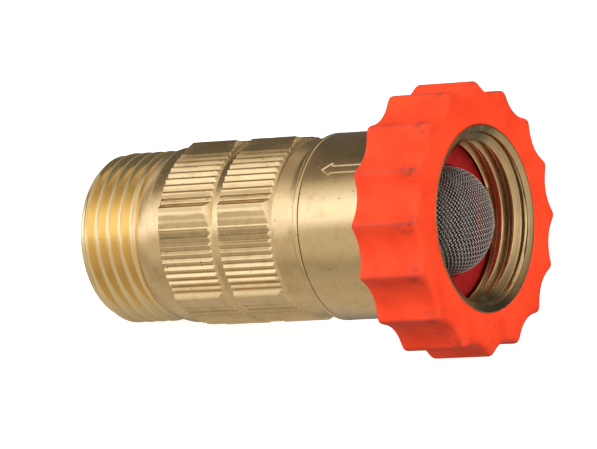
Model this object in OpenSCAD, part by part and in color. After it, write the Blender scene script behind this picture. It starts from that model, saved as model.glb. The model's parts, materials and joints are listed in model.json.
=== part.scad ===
// In-line piston water pressure regulator with garden hose threads.
// X is the flow axis: outlet thread at -X, swivel inlet nut at +X, +Z up.
// The origin is the middle of the part on that axis. Places along the axis
// are measured from the outlet rim, in millimetres.

/* [Overall] */
// Length from the outlet rim to the mouth of the inlet nut
body_len = 67.3; // [67.2:0.1:67.6]
// Radius of the smooth inlet housing
housing_r = 14.6; // [14.5:0.1:14.8]
// Radius of the knurled band's grooves
band_r = 14.05; // [14:0.05:14.1]

/* [Hose thread] */
// Crest radius of the outside thread
crest_r = 13.49; // [13.4:0.01:13.5]
// Root radius of the outside thread
root_r = 12.06; // [12:0.01:12.1]
// Distance from one thread crest to the next
pitch = 2.209; // [2.2:0.001:2.21]
// Crests on the outlet
outlet_crests = 5; // [4:1:5]
// Crest radius of the thread inside the nut
nut_crest_r = 12.2; // [12.15:0.01:12.2]
// Root radius of the thread inside the nut
nut_root_r = 13.62; // [13.6:0.01:13.7]
// Crests inside the nut
nut_crests = 3; // [2:1:3]

/* [Knurl] */
// Ribs around each band
rib_count = 72; // [60:6:84]
// Height of a rib above its grooves
rib_h = 0.25; // [0.2:0.05:0.4]
// Large ridges around each band
ridge_count = 6; // [4:1:6]
// Height of a large ridge above the grooves
ridge_h = 0.8; // [0.6:0.1:0.9]
// Turn of the first large ridge from +Y
ridge_turn = 37.6; // [0:0.1:60]

/* [Grip] */
// Radius over the tips of the grip's ridges
grip_r = 21.24; // [21.2:0.02:21.4]
// Radius at the bottom of the scallops
valley_r = 19.7; // [19.6:0.1:19.8]
// Radius of each scallop's hollow
scallop_r = 6.4; // [6:0.1:6.6]
// Ridges around the grip
grip_ridges = 16; // [12:1:16]
// Turn of the first ridge from +Y
grip_turn = 17.6; // [0:0.1:22]
// Rounding of the grip's end corners
grip_round = 1; // [0.5:0.1:1.2]

/* [Piston] */
// Travel of the piston from fully open to closed
travel = 2.2; // [1.8:0.1:2.2]
// Radius of the outlet housing's piston bore
piston_bore_r = 11.1; // [11:0.05:11.15]
// Outside radius of the hollow stem
stem_r = 4.4; // [4.3:0.05:4.4]
// Water passage radius in the stem
stem_bore_r = 2.9; // [2.6:0.1:3]

/* [Spring] */
// Diameter of the spring wire
wire_d = 2; // [1.6:0.1:2]
// Radius of the coil at the middle of the wire
coil_r = 7.8; // [7.6:0.1:8]
// Turns of the coil
coil_turns = 5.6; // [5:0.1:6]

/* [Strainer] */
// Outside radius of the strainer's dome
dome_r = 8.4; // [8.2:0.1:8.4]
// Height of the dome above the washer's face
dome_h = 6.7; // [6:0.1:6.8]
// Thickness of the woven mesh
mesh_t = 0.35; // [0.3:0.05:0.4]

/* [Hidden] */

$fn = 96;

// Clearances
slide_gap = 0.05;
turn_gap = 0.06;
seal_gap = 0.025;
thread_gap = 0.04;

// Hose thread form: 60 degree flanks with flats on the crests
crest_flat = 0.276;
flank = (crest_r - root_r) * tan(30);
nut_flank = (nut_root_r - nut_crest_r) * tan(30);
outlet_first = 1.62;
nut_last = body_len - 1.55;

// Outlet housing, from the outlet rim
outlet_bore_r = 9.3;
rim_r = 12.5;
rim_land = 0.5;
flare_r = 13.1;
flare_from = 11.5;
flare_to = 13.8;
shoulder_r = 13.87;
shoulder_end = 16.1;
channel_r = 13.75;
band_1 = [16.1, 26.6];
band_2 = [27.2, 37.7];
band_lead = 0.3;
band_chamfer = 2;
waist_r = 13.3;
waist_from = 38.9;
seam_at = 41.2;
seam_chamfer = 0.15;
stop_at = 14.6;
piston_bore_end = 33;

// Inlet housing
spigot_from = 33.4;
spigot_r = 12.2;
chamber_r = 10.3;
oring_groove = [38.9, 40.9];
oring_groove_r = 10.85;
web_from = 38.2;
web_to = 45;
gland_r = 6.45;
gland_to = 40.2;
bush_r = 6.2;
bush_to = 44.2;
web_hole_r = 4.9;
inlet_step_r = 8.3;
inlet_bore_r = 9;
carrier_from = 50.2;
clip_groove = [54.4, 55.4];
clip_groove_r = 9.6;
seam_ring_to = 42.2;
shoulder_at = 55.65;
neck_end = 58;
swivel_r = 11;
ring_groove = [56.5, 57.5];
ring_groove_r = 10.5;

// Seat carrier
seat_hub_r = 5;
pocket_r = 4.2;
pocket_to = 50.9;
carrier_t = 2.8;
arm_w = 2;

// Piston
head_from = stop_at + 0.02;
head_to = 20.8;
head_groove = [16.6, 18.9];
head_groove_r = 9.2;
stem_from = 16.6;
boss_to = 23.2;
boss_r = 6;
seat_face = 49.02;
stem_tip = seat_face - travel - 0.02;
spring_washer_t = 0.8;
gland_washer_t = 1;
spring_from = head_to + spring_washer_t;
spring_to = web_from - gland_washer_t;

// Inlet nut and grip
nut_from = 56;
hex_from = 56.6;
hex_to = 66.2;
hex_r = 17.3;
hub_r = 14.4;
nose_r = 14.5;
mouth_r = 14.28;
relief_r = 13;
nut_floor = 57.9;
nut_groove_r = 11.6;
grip_from = 55.9;

// Washer and strainer
washer_to = 60.4;
washer_r = 12.9;
washer_hole_r = 8.65;
rim_flange_r = 10;
rim_t = 0.3;

// The drawing axis Z is laid along X, and angles are from +Y towards +Z
module on_axis() {
    translate([-body_len / 2, 0, 0]) rotate([90, 0, 90]) children();
}

module turned(points) {
    on_axis() rotate_extrude() polygon(points);
}

// A plain ring with square edges between two places on the axis
module ring(inner, outer, from, to) {
    turned([[inner, from], [outer, from], [outer, to], [inner, to]]);
}

// A ring of round section
module oring(mid_r, section, at) {
    on_axis() rotate_extrude() translate([mid_r, at]) circle(d = section);
}

// One thread tooth's four corners for each crest, from foot to foot
function teeth(first, count, foot, top, side) = [
    for (i = [0 : count - 1], p = [[-1, 0], [-1, 1], [1, 1], [1, 0]])
        let (middle = first + i * pitch)
        p[1] == 1
            ? [top, middle + p[0] * crest_flat / 2]
            : [foot, middle + p[0] * (crest_flat / 2 + side)]
];

// Radius of the knurl at each of its corners: ribs, and a ridge every so often
// A ridge rises steeply and falls away gently, both given in degrees
knurl_steps = rib_count * 2;
ridge_rise = 4;
ridge_fall = 16;
function ridge_share(turn) =
    let (away = turn - round(turn * ridge_count / 360) * 360 / ridge_count)
    max(0, 1 - (away < 0 ? -away / ridge_rise : away / ridge_fall));
function knurl_r(i) =
    let (rib = i % 2 == 0 ? rib_h : 0)
    band_r + max(rib, ridge_h * ridge_share(i * 360 / knurl_steps));

// A knurled band, hollow inside and sunk into the body. It starts steeply and
// ends in a long chamfer
module knurl_band(ends) {
    top = band_r + ridge_h + 0.1;
    sunk = 0.3;
    run = sunk / (top - channel_r);
    on_axis() rotate(ridge_turn) intersection() {
        translate([0, 0, ends[0] - 1]) linear_extrude(ends[1] - ends[0] + 2)
            polygon([for (i = [0 : knurl_steps - 1])
                let (turn = i * 360 / knurl_steps)
                knurl_r(i) * [cos(turn), sin(turn)]]);
        rotate_extrude() polygon([
            [channel_r - sunk, ends[0] - run * band_lead],
            [top, ends[0] + band_lead],
            [top, ends[1] - band_chamfer],
            [channel_r - sunk, ends[1] + run * band_chamfer]]);
    }
}

module outlet_housing() color("#c2a76c") {
    turned(concat(
        [[outlet_bore_r + 0.5, 0], [rim_r, 0], [rim_r, rim_land]],
        teeth(outlet_first, outlet_crests, root_r, crest_r, flank),
        [[root_r, flare_from], [flare_r, flare_from], [shoulder_r, flare_to],
         [shoulder_r, shoulder_end + 0.2], [channel_r, shoulder_end + 0.3],
         [channel_r, band_2[1] - 0.2], [waist_r, waist_from],
         [waist_r, seam_at],
         [spigot_r + thread_gap, seam_at],
         [spigot_r + thread_gap, piston_bore_end],
         [piston_bore_r, piston_bore_end], [piston_bore_r, stop_at],
         [outlet_bore_r, stop_at], [outlet_bore_r, 0.5]]));
    knurl_band(band_1);
    knurl_band(band_2);
}

module inlet_housing() color("#b59a63") {
    turned([
        [chamber_r, spigot_from], [spigot_r, spigot_from],
        [spigot_r, oring_groove[0]], [oring_groove_r, oring_groove[0]],
        [oring_groove_r, oring_groove[1]], [spigot_r, oring_groove[1]],
        [spigot_r, seam_at], [housing_r - seam_chamfer, seam_at],
        [housing_r, seam_at + seam_chamfer],
        [housing_r, seam_ring_to - 0.1],
        [housing_r - 0.15, seam_ring_to],
        [housing_r, seam_ring_to + 0.1],
        [housing_r, shoulder_at - 0.2], [housing_r - 0.2, shoulder_at],
        [swivel_r, shoulder_at], [swivel_r, ring_groove[0]],
        [ring_groove_r, ring_groove[0]], [ring_groove_r, ring_groove[1]],
        [swivel_r, ring_groove[1]], [swivel_r, neck_end - 0.2],
        [swivel_r - 0.2, neck_end], [inlet_bore_r, neck_end],
        [inlet_bore_r, clip_groove[1]], [clip_groove_r, clip_groove[1]],
        [clip_groove_r, clip_groove[0]], [inlet_bore_r, clip_groove[0]],
        [inlet_bore_r, carrier_from], [inlet_step_r, carrier_from],
        [inlet_step_r, web_to], [web_hole_r, web_to],
        [web_hole_r, bush_to], [bush_r, bush_to], [bush_r, gland_to],
        [gland_r, gland_to], [gland_r, web_from], [chamber_r, web_from]]);
}

// Seals the screwed joint between the two housings
module housing_oring() color("#1c1c1c") {
    section = spigot_r - oring_groove_r - seal_gap;
    oring(oring_groove_r + (section + seal_gap) / 2, section,
        (oring_groove[0] + oring_groove[1]) / 2);
}

// Guides the hollow stem through the web
module stem_bush() color("#e8e2d0")
    ring(stem_r + slide_gap, bush_r - 0.02, gland_to, bush_to - 0.02);

module stem_oring() color("#1c1c1c") {
    section = gland_r - stem_r - 2 * seal_gap;
    oring((gland_r + stem_r) / 2, section, (web_from + gland_to) / 2);
}

// Holds the stem's seal in its gland, and carries the spring's fixed end
module gland_washer() color("#b8bcc0")
    ring(stem_r + 0.3, chamber_r - 0.3, web_from - gland_washer_t, web_from);

// Spider that holds the seat in the middle of the water's way
module seat_carrier() color("#e6e3da") {
    wall_r = inlet_step_r - 0.15;
    outer = inlet_bore_r - slide_gap;
    ring(wall_r, outer, carrier_from, clip_groove[0]);
    turned([
        [0, pocket_to], [pocket_r, pocket_to], [pocket_r, seat_face + 0.28],
        [seat_hub_r, seat_face + 0.28], [seat_hub_r, carrier_from + carrier_t],
        [1.5, clip_groove[1]], [0, clip_groove[1]]]);
    for (turn = [90, 210, 330])
        on_axis() rotate(turn)
            translate([seat_hub_r - 0.4, -arm_w / 2, carrier_from])
                cube([wall_r - seat_hub_r + 0.8, arm_w, carrier_t]);
}

// Soft face that the stem's lip closes on
module seat_disc() color("#202020")
    on_axis() translate([0, 0, seat_face])
        cylinder(r = pocket_r - 0.02, h = pocket_to - seat_face);

// Split ring that keeps the seat carrier in
module carrier_clip() color("#aeb2b6") {
    gap_half = 3.5;
    difference() {
        ring(inlet_step_r - 0.1, clip_groove_r - 0.05,
            clip_groove[0] + 0.05, clip_groove[1] - 0.05);
        on_axis() rotate(-90) translate([0, -gap_half, clip_groove[0] - 1])
            cube([clip_groove_r + 1, 2 * gap_half, 3]);
    }
}

// Split wire in matched grooves, which lets the nut turn but not pull off
module nut_retaining_ring() color("#aeb2b6") {
    wire = 0.9;
    gap_half = 1.5;
    difference() {
        oring((ring_groove_r + nut_groove_r) / 2, wire,
            (ring_groove[0] + ring_groove[1]) / 2);
        on_axis() rotate(-90) translate([0, -gap_half, ring_groove[0] - 1])
            cube([nut_groove_r + 1, 2 * gap_half, 3]);
    }
}

// Hose washer, rebated behind for the strainer's rim
module inlet_washer() color("#b3201f") {
    flat_r = nut_crest_r - 0.1;
    rebate = neck_end + rim_t + 0.05;
    turned([
        [washer_hole_r, rebate], [rim_flange_r + 0.1, rebate],
        [rim_flange_r + 0.1, neck_end], [washer_r, neck_end],
        [washer_r, washer_to - 0.5], [flat_r, washer_to],
        [washer_hole_r + 0.2, washer_to], [washer_hole_r, washer_to - 0.2]]);
}

// Pressed ring that the mesh is crimped into
module screen_rim() color("#a9adb0") {
    outer = washer_hole_r - 0.03;
    turned([
        [dome_r + 0.02, neck_end + rim_t], [dome_r + 0.02, washer_to - 0.2],
        [outer, washer_to - 0.2], [outer, neck_end + rim_t],
        [rim_flange_r, neck_end + rim_t], [rim_flange_r, neck_end],
        [dome_r - 0.4, neck_end], [dome_r - 0.4, neck_end + rim_t]]);
}

// Woven dome with a short straight skirt, bulging into the nut
dome_steps = 12;
function dome_line(radius, height) = [
    for (i = [0 : dome_steps])
        let (turn = i * 90 / dome_steps)
        [radius * cos(turn), washer_to + height * sin(turn)]
];
module screen_mesh() color("#8f9092") {
    inner = dome_line(dome_r - mesh_t, dome_h - mesh_t);
    turned(concat(
        [[dome_r, neck_end + rim_t + 0.02]],
        dome_line(dome_r, dome_h),
        [for (i = [dome_steps : -1 : 0]) inner[i]],
        [[dome_r - mesh_t, neck_end + rim_t + 0.02]]));
}

// Head that the outlet pressure pushes back against the spring
module piston_head() color("#efece2") {
    outer = piston_bore_r - slide_gap;
    turned([
        [stem_bore_r, stem_from], [7.5, head_from],
        [outer, head_from], [outer, head_groove[0]],
        [head_groove_r, head_groove[0]], [head_groove_r, head_groove[1]],
        [outer, head_groove[1]], [outer, head_to], [boss_r, head_to],
        [boss_r, boss_to - 0.3], [boss_r - 0.3, boss_to],
        [stem_r, boss_to], [stem_r, stem_from]]);
}

// Hollow stem that carries the water and closes on the seat disc
module piston_stem() color("#c9ab66") {
    lip = 1.2;
    turned([
        [stem_bore_r, stem_from], [stem_r, stem_from],
        [stem_r, stem_tip - lip], [stem_bore_r + 0.25, stem_tip],
        [stem_bore_r, stem_tip]]);
}

module piston_oring() color("#1c1c1c") {
    section = piston_bore_r - head_groove_r - 2 * seal_gap;
    oring((piston_bore_r + head_groove_r) / 2, section,
        (head_groove[0] + head_groove[1]) / 2);
}

// Steel washer between the plastic head and the spring
module spring_washer() color("#b8bcc0")
    ring(boss_r + 0.2, chamber_r - 0.3, head_to, spring_from);

// Compression spring with its ends bedded flat on the two washers
wire_sides = 8;
turn_steps = 18;
rest_turns = 0.75;
function coil_rise(turn) =
    let (free = coil_turns - 2 * rest_turns,
         low = spring_from + wire_d / 2,
         high = spring_to - wire_d / 2)
    low + (high - low) * min(1, max(0, (turn - rest_turns) / free));
module piston_spring() color("#c0c4c8") {
    count = round(coil_turns * turn_steps);
    points = [for (i = [0 : count], k = [0 : wire_sides - 1])
        let (turn = i / turn_steps,
             side = k * 360 / wire_sides,
             reach = coil_r + wire_d / 2 * cos(side))
        [reach * cos(turn * 360), reach * sin(turn * 360),
         coil_rise(turn) + wire_d / 2 * sin(side)]];
    walls = [for (i = [0 : count - 1], k = [0 : wire_sides - 1])
        let (next = (k + 1) % wire_sides, row = i * wire_sides)
        [row + k, row + next, row + wire_sides + next, row + wire_sides + k]];
    ends = [[for (k = [wire_sides - 1 : -1 : 0]) k],
            [for (k = [0 : wire_sides - 1]) count * wire_sides + k]];
    on_axis() polyhedron(points, concat(walls, ends), convexity = 8);
}

// Brass nut: swivels on the housing's neck and takes the hose's end
module swivel_nut() color("#b09452") difference() {
    union() {
        on_axis() translate([0, 0, hex_from])
            cylinder(r = hex_r, h = hex_to - hex_from, $fn = 6);
        on_axis() translate([0, 0, nut_from])
            cylinder(r = hub_r, h = 1);
        on_axis() translate([0, 0, hex_to - 1])
            cylinder(r = nose_r, h = body_len - hex_to + 1);
    }
    turned(concat(
        [[0, nut_from - 1], [swivel_r + turn_gap, nut_from - 1],
         [swivel_r + turn_gap, ring_groove[0]],
         [nut_groove_r, ring_groove[0]], [nut_groove_r, ring_groove[1]],
         [swivel_r + turn_gap, ring_groove[1]],
         [swivel_r + turn_gap, nut_floor], [relief_r, nut_floor],
         [relief_r, washer_to - 0.1]],
        teeth(nut_last - (nut_crests - 1) * pitch, nut_crests,
            nut_root_r, nut_crest_r, nut_flank),
        [[mouth_r, body_len], [mouth_r, body_len + 1], [0, body_len + 1]]));
}

// Soft grip moulded round the nut, with scallops for the fingers
module nut_grip() color("#f0492c") difference() {
    spacing = valley_r + scallop_r;
    on_axis() rotate(grip_turn) intersection() {
        translate([0, 0, grip_from]) linear_extrude(body_len - grip_from)
            difference() {
                circle(r = grip_r);
                for (i = [0 : grip_ridges - 1])
                    rotate((i + 0.5) * 360 / grip_ridges)
                        translate([spacing, 0]) circle(r = scallop_r);
            }
        rotate_extrude() hull() {
            translate([0, grip_from]) square([1, body_len - grip_from]);
            translate([grip_r - grip_round, grip_from + grip_round])
                circle(r = grip_round, $fn = 32);
            translate([grip_r - grip_round, body_len - grip_round])
                circle(r = grip_round, $fn = 32);
        }
    }
    on_axis() translate([0, 0, hex_from])
        cylinder(r = hex_r, h = hex_to - hex_from, $fn = 6);
    on_axis() translate([0, 0, grip_from - 1])
        cylinder(r = hub_r, h = hex_from - grip_from + 2);
    on_axis() translate([0, 0, hex_to - 1])
        cylinder(r = nose_r, h = body_len - hex_to + 2);
}

outlet_housing();
inlet_housing();
housing_oring();
stem_bush();
stem_oring();
gland_washer();
seat_carrier();
seat_disc();
carrier_clip();
nut_retaining_ring();
inlet_washer();
screen_rim();
screen_mesh();
piston_head();
piston_stem();
piston_oring();
spring_washer();
piston_spring();
swivel_nut();
nut_grip();
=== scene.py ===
import json
import math

import bmesh
import bpy
import numpy as np
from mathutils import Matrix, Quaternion, Vector

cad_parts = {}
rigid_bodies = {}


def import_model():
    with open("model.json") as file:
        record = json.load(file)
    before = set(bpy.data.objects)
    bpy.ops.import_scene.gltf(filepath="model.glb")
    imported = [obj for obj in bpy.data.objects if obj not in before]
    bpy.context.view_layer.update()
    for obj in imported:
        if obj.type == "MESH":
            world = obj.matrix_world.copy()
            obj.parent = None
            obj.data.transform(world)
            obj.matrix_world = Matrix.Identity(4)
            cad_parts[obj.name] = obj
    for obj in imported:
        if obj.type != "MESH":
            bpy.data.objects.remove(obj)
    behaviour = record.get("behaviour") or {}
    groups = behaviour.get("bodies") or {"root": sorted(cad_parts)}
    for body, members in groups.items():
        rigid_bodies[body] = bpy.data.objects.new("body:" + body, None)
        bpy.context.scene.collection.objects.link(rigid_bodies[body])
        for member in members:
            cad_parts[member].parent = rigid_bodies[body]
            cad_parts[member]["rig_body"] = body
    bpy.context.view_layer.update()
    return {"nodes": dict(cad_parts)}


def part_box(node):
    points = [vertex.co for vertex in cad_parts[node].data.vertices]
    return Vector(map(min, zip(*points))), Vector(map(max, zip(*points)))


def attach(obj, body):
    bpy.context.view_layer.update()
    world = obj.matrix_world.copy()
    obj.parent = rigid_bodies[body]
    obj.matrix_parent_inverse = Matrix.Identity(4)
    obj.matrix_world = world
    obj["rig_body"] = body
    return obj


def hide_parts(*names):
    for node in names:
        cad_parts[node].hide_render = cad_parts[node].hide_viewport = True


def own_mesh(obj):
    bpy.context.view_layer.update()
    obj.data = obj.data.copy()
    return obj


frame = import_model()

# Lengths are in millimetres unless a line says otherwise. A place is measured along the flow axis from the
# outlet's rim, and a turn is an angle about that axis from +Y towards +Z. MM takes lengths into metres.
MM = 0.001
FULL = 2 * math.pi
RIM_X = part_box("outlet_housing")[0].x / MM
BODY_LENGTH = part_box("nut_grip")[1].x / MM - RIM_X

# Hose thread, as on the outlet and inside the nut
PITCH = 2.209
CREST_FLAT = 0.276
FLANK_SLOPE = math.tan(math.radians(30))
TOOTH_ROUND = 0.08

# Knurl
RIBS = 72
RIB_HEIGHT = 0.4
# Share of a rib's width that lies before its crest
RIB_LEAN = 0.4
GROOVE_R = 13.95
RIDGES = 6
RIDGE_TURN = math.radians(37.6)
RIDGE_HEIGHT = 0.87
RIDGE_RISE = math.radians(4)
RIDGE_FALL = math.radians(16)
# How much of the ribs' height is lost on a ridge
RIDGE_FADE = 0.9

# Columns of the turned pieces' meshes, four to a rib, the first one at a ridge
COLUMNS = 4 * RIBS
TURNS = RIDGE_TURN + np.arange(COLUMNS) * FULL / COLUMNS


def smooth_step(low, high, value):
    share = np.clip((value - low) / (high - low), 0, 1)
    return share * share * (3 - 2 * share)


def smooth_max(a, b, width):
    """The larger of two values, with the corner between them rounded over about that width."""
    return (a + b + np.sqrt((a - b) ** 2 + width * width)) / 2


def smooth_min(a, b, width):
    return -smooth_max(-a, -b, width)


def rounded(corners, steps=3):
    """A line through (place, radius, rounding) corners, with each rounded corner made of short steps."""
    line = []
    for i, (place, radius, size) in enumerate(corners):
        here = np.array([place, radius])
        if size == 0 or i in (0, len(corners) - 1):
            line.append(here)
            continue
        before = np.array(corners[i - 1][:2]) - here
        after = np.array(corners[i + 1][:2]) - here
        back = min(size / np.linalg.norm(before), 0.45)
        on = min(size / np.linalg.norm(after), 0.45)
        for k in range(steps + 1):
            t = k / steps
            line.append(here + before * back * (1 - t) ** 2 + after * on * t * t)
    return np.array(line)


class Shell:
    """Patches of points around the flow axis, which become one closed mesh where their edges meet."""

    def __init__(self):
        self.points = []
        self.faces = []
        self.count = 0

    def add(self, place, radius, turn):
        """Adds the points and returns their numbers, in rows along the axis and columns around it."""
        place, radius, turn = np.broadcast_arrays(place, radius, turn)
        points = np.stack([place + RIM_X, radius * np.cos(turn), radius * np.sin(turn)], -1)
        self.points.append(points.reshape(-1, 3))
        numbers = self.count + np.arange(place.size).reshape(place.shape)
        self.count += place.size
        return numbers

    def quads(self, a, b, c, d):
        self.faces.append(np.stack([a, b, c, d], -1).reshape(-1, 4))

    def patch(self, place, radius, turn=TURNS):
        numbers = self.add(place, radius, turn)
        beside = np.roll(numbers, -1, axis=1)
        self.quads(numbers[:-1], beside[:-1], beside[1:], numbers[1:])
        return numbers

    def helix(self, place, radius, turn, climb):
        """As patch, but the last column meets the first one that many rows further on."""
        numbers = self.add(place, radius, turn)
        low, high = numbers[:-1], numbers[1:]
        self.quads(low[:, :-1], low[:, 1:], high[:, 1:], high[:, :-1])
        last, first = numbers[:-climb, -1], numbers[climb:, 0]
        self.quads(last[:-1], first[:-1], first[1:], last[1:])

    def turned(self, line, turns=TURNS):
        return self.patch(line[:, :1], line[:, 1:2], turns[None])

    def fan(self, coarse, fine):
        """Joins a ring to one with a whole number of times its points."""
        step = len(fine) // len(coarse)
        ring = np.append(fine, fine[0])
        for i in range(len(coarse)):
            part = ring[i * step : (i + 1) * step + 1]
            self.faces.append([[*part, coarse[(i + 1) % len(coarse)], coarse[i]]])

    def build(self, name, sharp=32):
        """The finished piece, with points that coincide made one and faces that this closes up left out."""
        points = np.concatenate(self.points)
        _, keep, number = np.unique(np.round(points, 5), axis=0, return_index=True, return_inverse=True)
        number = number.reshape(-1)
        faces = []
        for group in self.faces:
            for face in number[np.asarray(group)].tolist():
                corners = [c for i, c in enumerate(face) if c != face[i - 1]]
                if len(corners) > 2:
                    faces.append(corners)
        return make_object(name, points[keep], faces, sharp)


def make_object(name, points, faces, sharp=32):
    mesh = bpy.data.meshes.new(name)
    mesh.from_pydata((np.asarray(points) * MM).tolist(), [], faces)
    work = bmesh.new()
    work.from_mesh(mesh)
    bmesh.ops.recalc_face_normals(work, faces=work.faces)
    work.to_mesh(mesh)
    work.free()
    shade(mesh, sharp)
    piece = bpy.data.objects.new(name, mesh)
    bpy.context.scene.collection.objects.link(piece)
    return piece


def shade(mesh, sharp):
    mesh.shade_smooth()
    mesh.set_sharp_from_angle(angle=math.radians(sharp))


def lathe(name, corners, turns=TURNS, steps=3):
    """A turned piece from a closed outline of (place, radius, rounding) corners."""
    line = rounded([corners[-1], *corners, corners[0]], steps)[1:-1]
    shell = Shell()
    shell.turned(np.vstack([line, line[:1]]), turns)
    return shell.build(name)


def stand_for(piece, node, look):
    """The piece rides on the CAD node's own body and is shown in its place."""
    piece.data.materials.append(look)
    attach(piece, frame["nodes"][node]["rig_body"])
    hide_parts(node)
    return piece


# Hose threads


def tooth_phases(depth):
    """Where the rows of one thread turn lie, from the middle of a crest: close together at the corners."""
    top = CREST_FLAT / 2
    foot = top + depth * FLANK_SLOPE
    upper = [0.07, top - 0.03, top, top + 0.035, top + 0.09]
    lower = [(top + foot) / 2, foot - 0.12, foot - 0.04, foot + 0.04]
    half = upper + lower
    return np.array([0.0, *half, PITCH / 2, *[PITCH - phase for phase in reversed(half)]])


def tooth(phase, crest_r, root_r):
    """Radius of the thread form at a distance along the axis from a crest, with rounded corners."""
    away = np.abs(phase - np.round(phase / PITCH) * PITCH)
    full = abs(root_r - crest_r)
    flank = (away - CREST_FLAT / 2) / FLANK_SLOPE
    depth = smooth_max(smooth_min(flank, full, TOOTH_ROUND), 0, TOOTH_ROUND)
    return crest_r + math.copysign(1, root_r - crest_r) * depth


def thread_rows(low, high, crest, crest_turn, turns, depth):
    """Rows of a right-handed helix between two places: places, distances from a crest, and rows a turn."""
    phases = tooth_phases(depth)
    count = len(phases)
    first = math.floor((low - crest) / PITCH) - 2
    last = math.ceil((high - crest) / PITCH) + 2
    along = np.concatenate([phases + k * PITCH for k in range(first, last)])
    rise = PITCH * (turns - crest_turn) / FULL
    reach = np.nonzero((crest + along + rise.max() > low) & (crest + along + rise.min() < high))[0]
    along = along[max(reach[0] - count, 0) : reach[-1] + count + 1]
    place = np.clip(crest + along[:, None] + rise[None], low, high)
    return place, place - crest - rise[None], count


# Outlet housing

THREAD_CREST_R = 13.49
THREAD_ROOT_R = 12.06
THREAD_FROM = 0.5
THREAD_TO = 10.95
RIM_R = 12.5
NECK_R = 12.95
LEAD_IN_SLOPE = 0.9
RUN_OUT_SLOPE = 1.1
# The thread fades into plain rings over these lengths at its two ends
RIM_FADE = 0.5
NECK_FADE = 0.7
# A crest's place where the thread faces -Y
OUTLET_CREST = 1.62
SHOULDER_R = 13.87
CHANNEL_R = 13.75
WAIST_R = 13.3
BANDS = ((16.1, 25.9), (27.2, 37.0))
# The lengths over which a band rises, and over which its far end drops: short by its ribs, long by its ridges
BAND_LEAD = 0.25
BAND_DROP = 0.5
BAND_CHAMFER = 1.5
# How far past its ends a band's mesh reaches
BAND_MARGIN = 0.08
RIB_WEAR = 0.012
HOUSING_R = 14.6
SEAM = 41.2
SPIGOT_BORE_R = 12.24
PISTON_BORE_R = 11.1
OUTLET_BORE_R = 9.3


def outlet_thread(shell):
    depth = THREAD_CREST_R - THREAD_ROOT_R
    place, phase, climb = thread_rows(THREAD_FROM, THREAD_TO, OUTLET_CREST, math.pi, TURNS, depth)
    radius = tooth(phase, THREAD_CREST_R, THREAD_ROOT_R)
    lead_in = RIM_R + (place - THREAD_FROM) * LEAD_IN_SLOPE
    run_out = NECK_R + (THREAD_TO - place) * RUN_OUT_SLOPE
    radius = smooth_min(radius, smooth_min(lead_in, run_out, 0.05), 0.05)
    radius = RIM_R + (radius - RIM_R) * smooth_step(THREAD_FROM, THREAD_FROM + RIM_FADE, place)
    radius = NECK_R + (radius - NECK_R) * (1 - smooth_step(THREAD_TO - NECK_FADE, THREAD_TO, place))
    shell.helix(place, radius, TURNS[None], climb)


def knurl_radius(turn):
    """Pointed ribs, fainter where they ride on the ridges, which rise steeply and fall away gently."""
    along = (turn - RIDGE_TURN) / (FULL / RIBS) + 0.5
    along = along - np.floor(along)
    height = RIB_HEIGHT * np.minimum(along / RIB_LEAN, (1 - along) / (1 - RIB_LEAN))
    height = smooth_min(smooth_max(height, 0.02, 0.03), RIB_HEIGHT, 0.06)
    step = FULL / RIDGES
    away = (turn - RIDGE_TURN + step / 2) % step - step / 2
    share = smooth_max(1 - np.where(away < 0, -away / RIDGE_RISE, away / RIDGE_FALL), 0, 0.04)
    return GROOVE_R + RIDGE_HEIGHT * share + height * (1 - RIDGE_FADE * smooth_step(0, 0.25, share))


def knurl_columns():
    """Turns of the columns, twelve to a rib of five degrees, close together at its corners."""
    one = np.radians([0, 0.4, 0.9, 1.5, 2, 2.3, 2.5, 2.7, 3.1, 3.8, 4.15, 4.5])
    starts = RIDGE_TURN + np.arange(RIBS) * FULL / RIBS
    return (starts[:, None] + one[None]).reshape(-1)


def knurl_rows():
    """Places of the rows through both bands, close together where the ends are chamfered."""
    past = 0.1
    lead = np.linspace(0, BAND_LEAD, 5)
    drop = np.linspace(0, BAND_DROP + past, 6)
    chamfer = np.linspace(BAND_DROP + 3 * past, BAND_CHAMFER + past, 6)
    places = []
    for low, high in BANDS:
        middle = np.linspace(low + BAND_LEAD, high - BAND_CHAMFER - past, 6)[1:-1]
        places += [low - BAND_MARGIN, *(low + lead), *middle]
        places += [*(high - chamfer[::-1]), *(high - drop[::-1]), high + BAND_MARGIN]
    return np.array(places)


def knurled_bands(shell, ring_before, ring_after):
    turn = knurl_columns()
    place = knurl_rows()
    random = np.random.default_rng(7)
    wear = np.repeat(random.normal(0, RIB_WEAR, (len(place), RIBS)), len(turn) // RIBS, axis=1)
    rise = GROOVE_R + RIDGE_HEIGHT + 0.2 - CHANNEL_R
    rib_rise = GROOVE_R + RIB_HEIGHT - CHANNEL_R
    limit = np.full(len(place), CHANNEL_R - 0.02)
    for low, high in BANDS:
        inside = (place >= low) & (place <= high)
        before = rise * (place - low) / BAND_LEAD
        steep = rib_rise * (high - place) / BAND_DROP
        gentle = rib_rise + (rise - rib_rise) * (high - BAND_DROP - place) / (BAND_CHAMFER - BAND_DROP)
        limit[inside] += np.minimum(np.minimum(before, steep), gentle)[inside]
    radius = smooth_min(knurl_radius(turn)[None] + wear, limit[:, None], 0.03)
    numbers = shell.patch(place[:, None], radius, turn[None])
    shell.fan(ring_before, numbers[0])
    shell.fan(ring_after, numbers[-1])


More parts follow.
